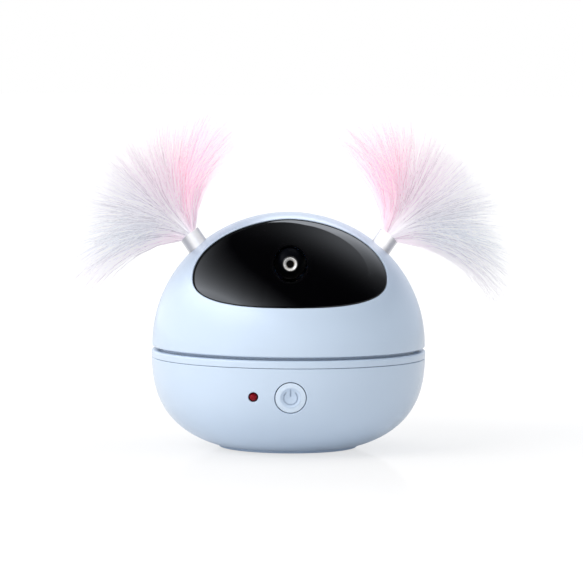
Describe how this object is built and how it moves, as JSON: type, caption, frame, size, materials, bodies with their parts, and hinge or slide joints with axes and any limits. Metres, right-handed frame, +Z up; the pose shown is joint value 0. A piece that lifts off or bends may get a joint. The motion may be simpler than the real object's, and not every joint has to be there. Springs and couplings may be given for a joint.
{
  "type": "automatic cat laser toy",
  "caption": "Ball-shaped cat toy: a domed head with a black visor, a tilting laser eye and pull-out soft plumes turns on a bowl base with a push button.",
  "frame": {"origin": "centre of the plane that the rubber feet stand on, under the swivel axis", "axes": "+Z up along the swivel axis, -Y to the front, where the button, the lamp and the laser eye are; +X to the right of someone looking at the front"},
  "size_m": [0.162, 0.1056, 0.1257],
  "materials": {
    "shell_blue": "gloss",
    "cover_blue": "satin",
    "visor_black": "gloss",
    "button_blue": "satin",
    "lamp_red": "gloss",
    "foot_rubber": "matte",
    "screw_steel": "satin",
    "motor_steel": "satin",
    "spring_steel": "satin",
    "socket_steel": "satin",
    "brass": "satin",
    "copper": "satin",
    "board_green": "satin",
    "part_black": "satin",
    "frame_white": "matte",
    "gear_white": "satin",
    "cell_wrap": "gloss",
    "ball_black": "satin",
    "bezel_bright": "polished",
    "lens_clear": "gloss",
    "ferrule_satin": "satin",
    "plume_soft": "soft"
  },
  "bodies": {
    "base": {"lower_shell": "shell_blue", "base_deck": "shell_blue", "bottom_cover": "cover_blue", "rubber_feet": "foot_rubber", "bottom_screws": "screw_steel", "deck_screws": "screw_steel", "swivel_bush": "brass", "ring_board": "board_green", "ring_tracks": "copper", "battery_tray": "part_black", "battery_cell": "cell_wrap", "battery_contacts": "spring_steel", "tray_screws": "screw_steel", "main_board": "board_green", "controller_chip": "part_black", "usb_socket": "socket_steel", "main_board_screws": "screw_steel", "switch_board": "board_green", "tact_switch": "part_black", "status_led": "lamp_red", "lamp_spacer": "part_black", "switch_board_screws": "screw_steel", "drive_motor": "motor_steel", "drive_gearbox": "brass", "drive_bracket": "frame_white", "bracket_screws": "screw_steel"},
    "power_button": {"power_button": "button_blue", "switch_plunger": "frame_white"},
    "drive_pinion": {"drive_pinion": "gear_white", "drive_shaft": "motor_steel"},
    "head": {"upper_shell": "shell_blue", "visor": "visor_black", "head_chassis": "frame_white", "head_screws": "screw_steel", "hub_shaft": "frame_white", "hub_gear": "gear_white", "hub_screws": "screw_steel", "hub_washer": "spring_steel", "hub_nut": "brass", "brush_block": "part_black", "contact_brushes": "copper", "left_socket": "frame_white", "right_socket": "frame_white", "laser_yoke": "frame_white", "yoke_screws": "screw_steel", "tilt_motor": "motor_steel", "tilt_clip": "spring_steel", "head_board": "board_green", "head_board_screws": "screw_steel"},
    "laser": {"laser_ball": "ball_black", "laser_barrel": "brass", "laser_bezel": "bezel_bright", "laser_lens": "lens_clear", "sector_gear": "gear_white"},
    "tilt_pinion": {"tilt_pinion": "gear_white"},
    "left_plume": {"left_ferrule": "ferrule_satin", "left_plume": "plume_soft"},
    "right_plume": {"right_ferrule": "ferrule_satin", "right_plume": "plume_soft"}
  },
  "joints": [
    {"name": "head_spin", "type": "hinge", "parent": "base", "child": "head", "pos_m": [0, 0, 0.03565], "axis": [0, 0, 1], "continuous": true},
    {"name": "drive_pinion_spin", "type": "hinge", "parent": "base", "child": "drive_pinion", "pos_m": [0.01966, -0.01377, 0.03565], "axis": [0, 0, 1], "continuous": true},
    {"name": "laser_tilt", "type": "hinge", "parent": "head", "child": "laser", "pos_m": [0, -0.03151, 0.0734], "axis": [1, 0, 0], "range_deg": [-10, 10]},
    {"name": "tilt_pinion_spin", "type": "hinge", "parent": "head", "child": "tilt_pinion", "pos_m": [0, -0.02551, 0.06301], "axis": [1, 0, 0], "range_deg": [-60, 60]},
    {"name": "button_press", "type": "slide", "parent": "base", "child": "power_button", "axis": [0, 1, 0], "range_m": [0, 0.0008], "stiffness_N_per_m": 600},
    {"name": "left_plume_pull", "type": "slide", "parent": "head", "child": "left_plume", "axis": [-0.5664, 0, 0.8241], "range_m": [0, 0.02]},
    {"name": "right_plume_pull", "type": "slide", "parent": "head", "child": "right_plume", "axis": [0.5664, 0, 0.8241], "range_m": [0, 0.02]}
  ],
  "couplings": [
    {"joint": "drive_pinion_spin", "follows": "head_spin", "ratio": -4},
    {"joint": "tilt_pinion_spin", "follows": "laser_tilt", "ratio": -3}
  ]
}
